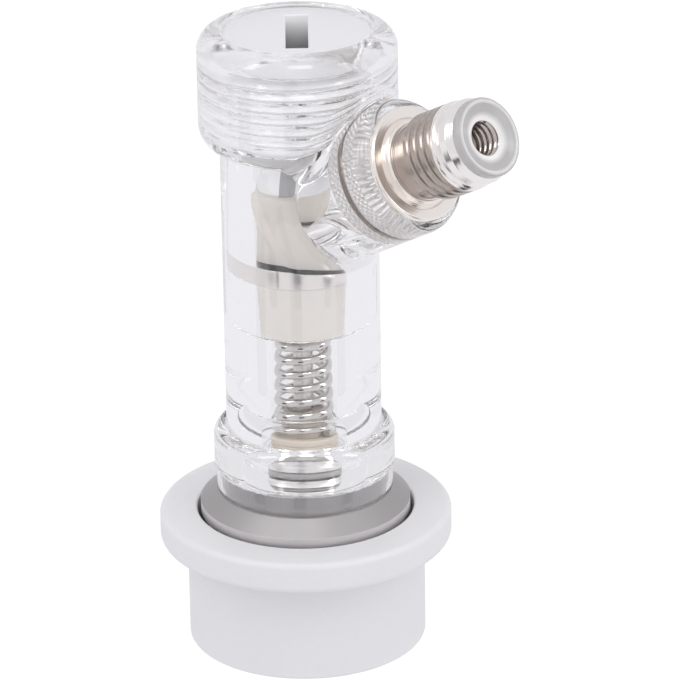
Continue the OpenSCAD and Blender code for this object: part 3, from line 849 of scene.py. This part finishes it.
def hollow_wave(r, z, a):
    """The head's own thread, a groove that winds outwards from the bore, and the steel band's grip."""
    rise = ridge((z - CAP_THREAD_Z) / CAP_THREAD_PITCH - a / (2 * math.pi), 1.25, 2.5)
    fade = ramp(z - CAP_THREAD_Z - 0.4, 1.2) * ramp(DISC_Z - CAP_T - 0.5 - z, 1.0)
    on_wall = (np.abs(r - CAP_THREAD_R) < 0.3) & (z > CAP_THREAD_Z + 0.05)
    on_band = (np.abs(r - BORE_R + BAND_GRIP) < 1e-6) & (z < RING_TOP_Z) & (z > RING_Z)
    loose = (np.degrees(a) < BAND_TOUCH[0]) | (np.degrees(a) > BAND_TOUCH[1])
    thread = np.where(on_wall, THREAD_RELIEF * rise * fade, 0)
    return r + thread + np.where(on_band & loose, BAND_GRIP + 0.02, 0)


def inside_outline():
    """The hollow of the clear body along its main axis."""
    bell = [
        (BELL_R - (BELL_R - SPRING_BORE_R) * (1 - math.cos(a)), NECK_Z + 0.5 + BELL_H * math.sin(a), 0)
        for a in np.radians(np.linspace(0, 90, 13))
    ]
    oring_r, thread_r, disc_r = CAP_BOSS_R + ORING_T + CAP_GAP, CAP_THREAD_R + CAP_GAP, CAP_R + CAP_GAP
    path = rounded(
        [(0, BODY_Z - 1, 0), (PAD_R, BODY_Z - 1, 0), (PAD_R, PAD_Z, 0.2), (NECK_R + 0.1, PAD_Z, 0)]
        + [(NECK_R + 0.1, NECK_Z + 0.2, 0), (BELL_R, NECK_Z + 0.2, 0)]
        + bell
        + [(SPRING_BORE_R, SHELF_Z, 0.15), (BORE_R, SHELF_Z, 0.35), (BORE_R, RING_Z, 0)]
        + [(BORE_R - BAND_GRIP, RING_Z + 0.01, 0), (BORE_R - BAND_GRIP, RING_TOP_Z - 0.01, 0)]
        + [(BORE_R, RING_TOP_Z, 0), (BORE_R, COUNTERBORE_Z, 0.1)]
        + [(oring_r, COUNTERBORE_Z, 0.3), (oring_r, CAP_THREAD_Z, 0.1)]
        + [(thread_r, CAP_THREAD_Z, 0.2), (thread_r, DISC_Z - CAP_T, 0)]
        + [(disc_r, DISC_Z - CAP_T, 0.1), (disc_r, DISC_Z + 0.1, 0)]
        + [(CAP_R + MOUTH_FLARE, TOP_Z, 0), (CAP_R + MOUTH_FLARE, TOP_Z + 1, 0), (0, TOP_Z + 1, 0)]
    )
    return finely(path, 0.09, CAP_THREAD_Z + 0.2, DISC_Z - CAP_T)


def build_clear_body():
    """The skin less the hollow and the insert's seat, with the normals of the true surface."""
    hollow = turned("hollow", inside_outline(), 160, wave=hollow_wave)
    grip = 0.05
    hold_r, groove_r = KNURL_R - KNURL_DEPTH - grip, KNURL_R - GROOVE_DEPTH - grip
    groove_low, groove_end = GROOVE_LOW + grip, GROOVE_LOW + GROOVE_W - grip
    seat = turned("insert_seat", [
        (0, 0), (PASSAGE_R, 0), (PASSAGE_R, INSERT_LOW + grip), (hold_r, INSERT_LOW + grip),
        (hold_r, groove_low), (groove_r, groove_low), (groove_r, groove_end), (hold_r, groove_end),
        (hold_r, BOSS_L + 1), (0, BOSS_L + 1),
    ], 96)
    seat.transform(PORT)
    mesh = cut(outside_mesh(), hollow, seat)
    shell = piece("clear_shell", mesh, "housing", clear, "clear_body", sharp=28)
    smooth_normals(shell.data)


build_clear_body()


# Cap

def cap_wave(r, z, a):
    """The cap's thread, which runs in the head's."""
    drop = ridge((z - CAP_THREAD_Z) / CAP_THREAD_PITCH - a / (2 * math.pi) - 0.5, 1.25, 2.5)
    fade = ramp(z - CAP_THREAD_Z - 0.4, 1.0) * ramp(DISC_Z - CAP_T - 0.3 - z, 0.8)
    return r - np.where(np.abs(r - CAP_THREAD_R) < 0.05, CAP_RELIEF * drop * fade, 0)


def build_cap():
    """The cap: a hollow boss, a thread, a disc and a screwdriver slot."""
    hollow_r, hollow_z = CAP_BOSS_R - CAP_BOSS_WALL, CAP_LOW_Z + CAP_HOLLOW_H
    path = rounded([
        (0, hollow_z, 0), (hollow_r, hollow_z, 0.4), (hollow_r, CAP_LOW_Z, 0.2),
        (CAP_BOSS_R, CAP_LOW_Z, 0.4), (CAP_BOSS_R, CAP_THREAD_Z + 0.05, 0.15),
        (CAP_THREAD_R, CAP_THREAD_Z + 0.05, 0.3), (CAP_THREAD_R, DISC_Z - CAP_T + 0.05, 0),
        (CAP_R, DISC_Z - CAP_T + 0.05, 0.15), (CAP_R, DISC_Z, 0.25), (0, DISC_Z, 0),
    ])
    path = finely(path, 0.09, CAP_THREAD_Z + 0.3, DISC_Z - CAP_T + 0.05)
    body = turned("cap", path, 160, wave=cap_wave)
    half_l, half_w = SLOT_L / 2, SLOT_W / 2
    corners = [(-half_l, -half_w), (half_l, -half_w), (half_l, half_w), (-half_l, half_w)]
    rings = (
        (DISC_Z - SLOT_DEPTH, 0), (DISC_Z - SLOT_FLARE, 0), (DISC_Z, SLOT_FLARE), (DISC_Z + 1, SLOT_FLARE),
    )
    points = [
        (x + math.copysign(out, x), y + math.copysign(out, y), z) for z, out in rings for x, y in corners
    ]
    faces = [(3, 2, 1, 0), tuple(4 * len(rings) - 4 + k for k in range(4))]
    for i in range(len(rings) - 1):
        faces += [(4 * i + k, 4 * i + (k + 1) % 4, 4 * i + 4 + (k + 1) % 4, 4 * i + 4 + k) for k in range(4)]
    slot_mesh = mesh_of("slot", points, faces)
    slot_mesh.transform(Matrix.Rotation(math.radians(SLOT_ANGLE), 4, "Z"))
    piece("cap", cut(body, slot_mesh), "cap", cap_plastic, "cap_plug")


build_cap()


# Parts in the bores

def rim(r_out, r_in, z0, z1, fillet=0.12):
    """The outline of a plain ring with soft edges."""
    return rounded([(r_in, z0, fillet), (r_out, z0, fillet), (r_out, z1, fillet), (r_in, z1, fillet)])


def torus(r_mean, t, z, steps=24):
    """The round outline of an O-ring."""
    angles = np.linspace(0, 2 * math.pi, steps, False)
    return [(r_mean + t / 2 * math.cos(a), z + t / 2 * math.sin(a)) for a in angles]


def build_sleeves():
    """The sleeve with the outlet's hole, the gasket under it and the steel band under that."""
    sleeve = turned("sleeve", rim(SLEEVES_R, BORE_R - SLEEVE_WALL, SLEEVE_Z, SLEEVE_TOP_Z), 128, loop=True)
    hole = turned("hole", [(0, 0), (PASSAGE_R, 0), (PASSAGE_R, 2 * BORE_R), (0, 2 * BORE_R)], 64)
    hole.transform(PORT)
    piece("sleeve", cut(sleeve, hole), "housing", thin_acetal, "outlet_sleeve")
    gasket = turned("gasket", rim(SLEEVES_R, BORE_R - GASKET_WALL, RING_TOP_Z, SLEEVE_Z), 128, loop=True)
    piece("gasket", gasket, "housing", black_rubber, "sleeve_gasket")
    band = turned("band", rim(SLEEVES_R, BORE_R - BAND_WALL, RING_Z, RING_TOP_Z, 0.08), 160, loop=True)
    piece("steel_band", band, "housing", polished, "retaining_ring")


def build_bush():
    """The bush that the pin runs in, with a ring of holes for the flow."""
    seat_top = RING_Z - 0.01
    seat = turned("seat", rounded([
        (BUSH_BORE_R, SHELF_Z, 0.1), (SLEEVES_R, SHELF_Z, 0.4), (SLEEVES_R, seat_top, 0.1),
        (BUSH_BORE_R, seat_top, 0.1),
    ]), 128, loop=True)
    holes = []
    low, high = SHELF_Z - 1, RING_Z + 1
    for i in range(BUSH_HOLES):
        drill = turned(f"drill_{i}", [(0, low), (BUSH_HOLE_R, low), (BUSH_HOLE_R, high), (0, high)], 24)
        around = Matrix.Rotation(2 * math.pi * i / BUSH_HOLES, 4, "Z")
        drill.transform(around @ Matrix.Translation((BUSH_HOLES_AT * MM, 0, 0)))
        holes.append(drill)
    piece("spring_bush", cut(seat, *holes), "housing", acetal, "spring_seat")


def build_valve_spring():
    """The valve spring, coiled to the imported spring's height."""
    spring_low, spring_high = low_z("valve_spring"), high_z("valve_spring")
    spring = coil("spring", SPRING_R - WIRE / 2, WIRE, spring_low, spring_high - spring_low, VALVE_TURNS, 1)
    shown_spring = piece("spring", spring, "housing", wire_steel, "valve_spring")
    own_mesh(shown_spring)


def build_seals():
    """The O-rings of the cap and of the neck."""
    oring_z = (low_z("cap_oring") + high_z("cap_oring")) / 2
    oring = turned("cap_ring", torus(CAP_BOSS_R + ORING_T / 2 + 0.03, ORING_T, oring_z), 128, loop=True)
    piece("cap_seal", oring, "cap_carrier", pale_rubber, "cap_oring")
    neck_low = low_z("neck_oring")
    neck_t = high_z("neck_oring") - neck_low
    neck_path = torus(radius("neck_oring") - neck_t / 2, neck_t, neck_low + neck_t / 2)
    neck_ring = turned("neck_ring", neck_path, 96, loop=True)
    piece("neck_seal", neck_ring, "housing", grey_rubber, "neck_oring")


def build_poppet():
    """The button, the seal under it and the pin through both."""
    seal_z, button_z = low_z("poppet_seal"), low_z("poppet_button")
    button_top, seal_r = high_z("poppet_button"), radius("poppet_seal")
    flange_top = button_z + BUTTON_T
    button = rounded([
        (PIN_R, button_z, 0), (seal_r, button_z, 0.15), (seal_r, flange_top, 0.3),
        (BUTTON_HUB_R, flange_top, 0.1), (BUTTON_HUB_R, button_top, 0.5), (PIN_R, button_top, 0.1),
    ])
    piece("button", turned("button", button, 96, loop=True), "poppet", cream, "poppet_button")
    seal = rim(seal_r, PIN_R, seal_z, button_z, 0.2)
    piece("seal", turned("seal", seal, 96, loop=True), "poppet", seal_rubber, "poppet_seal")
    pin_low, pin_top = low_z("poppet_pin"), high_z("poppet_pin")
    clip_z, clip_top = low_z("pin_clip"), high_z("pin_clip")
    pin = rounded([
        (0, pin_low, 0), (PIN_FOOT_R, pin_low, 0.45), (PIN_FOOT_R, seal_z, 0.1), (PIN_R, seal_z, 0),
        (PIN_R, clip_z, 0), (CLIP_GROOVE_R, clip_z, 0), (CLIP_GROOVE_R, clip_top, 0), (PIN_R, clip_top, 0),
        (PIN_R, pin_top, 0.4), (0, pin_top, 0),
    ])
    piece("pin", turned("pin", pin, 64), "poppet", polished, "poppet_pin")


build_sleeves()
build_bush()
build_valve_spring()
build_seals()
build_poppet()


# Insert and washer

def knurl_and_thread(r, z, a):
    """Diamond knurl on the bands and a helical flare thread."""
    turn, rise = a * KNURL_AROUND / (2 * math.pi), (z - INSERT_LOW) / KNURL_PITCH
    one, other = turn + rise, turn - rise
    height = np.minimum(2 * np.abs(one - np.round(one)), 2 * np.abs(other - np.round(other)))
    on_bands = (np.abs(r - KNURL_R) < 0.01) & (z > INSERT_LOW + 0.3) & (z < KNURL_END)
    on_bands &= (z < GROOVE_LOW - 0.1) | (z > GROOVE_LOW + GROOVE_W + 0.1)
    knurled = np.where(on_bands, -KNURL_RELIEF * (1 - np.clip(1.5 * height, 0, 1)), 0)
    crest = ridge((z - THREAD_LOW) / FLARE_PITCH - a / (2 * math.pi), 1.7, 3.1)
    fade = ramp(z - THREAD_LOW + 0.1, 0.5) * ramp(THREAD_END + 0.2 - z, 0.5)
    on_root = (np.abs(r - FLARE_R + FLARE_DEPTH) < 0.02) & (z > THREAD_LOW) & (z < THREAD_END)
    threaded = np.where(on_root, FLARE_DEPTH * crest * fade, 0)
    inside = (np.abs(r - INSERT_BORE_R) < 0.01) & (z > NOSE_LOW - 4)
    rings = np.where(inside, BORE_RELIEF * np.cos(2 * math.pi * (z / BORE_PITCH - a / (2 * math.pi))), 0)
    return r + knurled + threaded + rings


def build_insert():
    """The metal insert of the side port and the nylon washer on its nose."""
    root_r = FLARE_R - FLARE_DEPTH
    groove_r, groove_end = KNURL_R - GROOVE_DEPTH, GROOVE_LOW + GROOVE_W
    face_z = BOSS_L + FACE_T
    step_z = face_z + STEP_L
    spigot_r, spigot_end = INSERT_BORE_R + 0.6, SPIGOT_LOW + SPIGOT_L
    outside = rounded([
        (INSERT_BORE_R, INSERT_LOW, 0.1), (KNURL_R, INSERT_LOW, 0.3), (KNURL_R, GROOVE_LOW, 0),
        (groove_r, GROOVE_LOW, 0), (groove_r, groove_end, 0), (KNURL_R, groove_end, 0),
        (KNURL_R, BOSS_L, 0), (FACE_R, BOSS_L, 0.1), (FACE_R, face_z, 0.3),
        (STEP_R + 0.5, face_z, 0.15), (STEP_R, face_z - 0.15, 0.1), (STEP_R, step_z, 0.3),
        (UNDERCUT_R, step_z, 0.2), (UNDERCUT_R, THREAD_LOW - 0.25, 0.1), (root_r, THREAD_LOW, 0),
        (root_r, THREAD_END, 0), (STEP_R, THREAD_END + 0.45, 0.15), (STEP_R, NOSE_LOW, 0.25),
        (WASHER_R - 0.1, SPIGOT_LOW, 0.1), (INSERT_BORE_R + 1, SPIGOT_LOW, 0.1),
        (spigot_r, spigot_end, 0.15), (INSERT_BORE_R, spigot_end, 0.1),
    ])
    path = finely(outside, 0.08, INSERT_LOW, spigot_end, loop=True)
    insert = turned("insert", path, 448, loop=True, wave=knurl_and_thread)
    piece("insert", insert, "housing", insert_steel, "port_insert", sharp=40, placed=PORT)
    end = SPIGOT_LOW + WASHER_L
    washer = rounded([
        (spigot_r + 0.42, SPIGOT_LOW, 0), (WASHER_R, SPIGOT_LOW, 0.12), (WASHER_R, end - 0.05, 0.4),
        (4.35, end, 0.3), (4.0, end - 0.2, 0.3), (INSERT_BORE_R + 0.5, end - 0.62, 0.25),
        (INSERT_BORE_R, end - 0.85, 0.1), (INSERT_BORE_R, spigot_end + 0.02, 0),
        (spigot_r + 0.02, spigot_end + 0.02, 0),
    ])
    ring = turned("washer", washer, 128, loop=True)
    piece("washer", ring, "housing", washer_nylon, "flare_washer", placed=PORT)


build_insert()


# Collar, cage and lock

def build_collar():
    """The lifting collar, with the lip that holds the ramp ring."""
    collar_h, ramp_top = high_z("collar"), high_z("ramp_ring")
    flange_top = collar_h - FLANGE_FALL
    flange_low = flange_top - FLANGE_T
    lip_r = RAMP_OUT_R - COLLAR_LIP
    path = rounded([
        (lip_r, 0, 0.15), (SKIRT_R, 0, 0.5), (SKIRT_R, flange_low, 0.4), (FLANGE_R, flange_low, 0.9),
        (FLANGE_R, flange_top, 0.8), (OPENING_R, collar_h, 0.35), (OPENING_R, ramp_top, 0),
        (RAMP_OUT_R, ramp_top, 0), (RAMP_OUT_R, COLLAR_LIP_H, 0), (lip_r, COLLAR_LIP_H, 0),
    ])
    piece("lift_collar", turned("lift_collar", path, 256, loop=True), "lock_collar", grey_plastic, "collar")


def build_collar_spring():
    """The spring over the cage, coiled to the imported spring's height."""
    low, high = low_z("collar_spring"), high_z("collar_spring")
    spring = coil("collar_coil", radius("collar_spring") - WIRE / 2, WIRE, low, high - low, COLLAR_TURNS, 0.5)
    shown_spring = piece("collar_coil", spring, "housing", wire_steel, "collar_spring")
    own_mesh(shown_spring)


build_collar()
build_collar_spring()

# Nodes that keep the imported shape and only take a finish
kept_shapes = {"ball_cage": satin, "ramp_ring": satin, "pin_clip": wire_steel, "snap_ring": wire_steel}
kept_shapes |= {f"lock_ball_{i}": ball_steel for i in range(1, 5)}
for name, finish in kept_shapes.items():
    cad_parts[name].data.materials.clear()
    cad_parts[name].data.materials.append(finish)


# Floor, light and camera

def build_stage():
    """A floor that lights the object like the tent, and looks white where nothing stands on it."""
    floor = bpy.data.meshes.new("floor")
    half = 3.0
    corners = [(-half, -half, 0), (half, -half, 0), (half, half, 0), (-half, half, 0)]
    floor.from_pydata(corners, [], [(0, 1, 2, 3)])
    made, tree, shader = material("pale_floor")
    shader.inputs["Base Color"].default_value = (0, 0, 0, 1)
    shader.inputs["Specular IOR Level"].default_value = 0.0
    bare = node(tree, "ShaderNodeLightPath").outputs["Is Camera Ray"]
    tree.links.new(mixed(tree, bare, TENT, BARE_FLOOR), shader.inputs["Emission Color"])
    shader.inputs["Emission Strength"].default_value = 1.0
    floor.materials.append(made)
    obj = bpy.data.objects.new("floor", floor)
    bpy.context.collection.objects.link(obj)


def lamp(name, azimuth, elevation, size, power):
    """A soft square lamp that faces the object."""
    data = bpy.data.lights.new(name, "AREA")
    data.shape = "RECTANGLE"
    data.size, data.size_y = size
    data.energy = power
    obj = bpy.data.objects.new(name, data)
    a, e = math.radians(azimuth), math.radians(elevation)
    way = Vector((math.sin(a) * math.cos(e), -math.cos(a) * math.cos(e), math.sin(e)))
    middle = Vector((0, 0, LAMP_AIM_Z))
    obj.location = middle + way * LAMP_DISTANCE
    obj.rotation_euler = way.to_track_quat("Z", "Y").to_euler()
    bpy.context.collection.objects.link(obj)


def flag(name, azimuth, distance, width, low, high, in_glass):
    """A dark card that shows only in reflections and perhaps through glass."""
    w = width / 2
    mesh = mesh_of(name, [(-w, 0, low), (w, 0, low), (w, 0, high), (-w, 0, high)], [(0, 1, 2, 3)])
    made, tree, shader = material(name)
    shader.inputs["Base Color"].default_value = (0.04, 0.04, 0.045, 1)
    shader.inputs["Roughness"].default_value = 0.8
    mesh.materials.append(made)
    obj = bpy.data.objects.new(name, mesh)
    bpy.context.collection.objects.link(obj)
    around = Matrix.Rotation(math.radians(azimuth), 4, "Z")
    obj.matrix_world = around @ Matrix.Translation((0, -distance * MM, 0))
    obj.visible_camera = obj.visible_diffuse = obj.visible_shadow = False
    obj.visible_transmission = in_glass


def build_light():
    """The tent's even light, the lamps and the dark cards."""
    world = bpy.data.worlds.new("studio")
    bpy.context.scene.world = world
    world.use_nodes = True
    tree = world.node_tree
    back = tree.nodes["Background"]
    back.inputs["Color"].default_value = SKY
    back.inputs["Strength"].default_value = 1.0
    for name, side, *rest in LAMPS:
        lamp(name, VIEW_AZIMUTH + side, *rest)
    for name, side, *sizes in FLAGS:
        flag(name, VIEW_AZIMUTH + side, *sizes)


def build_camera():
    """The camera stands on the photograph's side, turned by its small yaw and roll."""
    down, yaw, roll = (math.radians(v) for v in (VIEW_DOWN, VIEW_YAW, VIEW_ROLL))
    forward = Vector((math.sin(yaw) * math.cos(down), math.cos(yaw) * math.cos(down), -math.sin(down)))
    right = forward.cross(Vector((0, 0, 1))).normalized()
    up = right.cross(forward)
    right, up = math.cos(roll) * right + math.sin(roll) * up, math.cos(roll) * up - math.sin(roll) * right
    look = Matrix((right, up, -forward)).transposed().to_4x4()
    stand = Vector((0, -VIEW_DISTANCE * math.cos(down), AIM_Z + VIEW_DISTANCE * math.sin(down)))
    data = bpy.data.cameras.new("camera")
    data.sensor_width = SENSOR_MM
    data.lens = FOCAL_PX * SENSOR_MM / PICTURE_PX
    data.clip_start = 0.01
    camera = bpy.data.objects.new("camera", data)
    around = Matrix.Rotation(math.radians(VIEW_AZIMUTH), 4, "Z")
    camera.matrix_world = around @ Matrix.Translation(stand) @ look
    bpy.context.collection.objects.link(camera)
    bpy.context.scene.camera = camera


build_stage()
build_light()
build_camera()
bpy.context.scene.view_settings.view_transform = "Standard"
bpy.context.scene.cycles.max_bounces = 40
bpy.context.scene.cycles.transmission_bounces = 40
bpy.context.scene.cycles.glossy_bounces = 40
bpy.context.scene.cycles.diffuse_bounces = 8
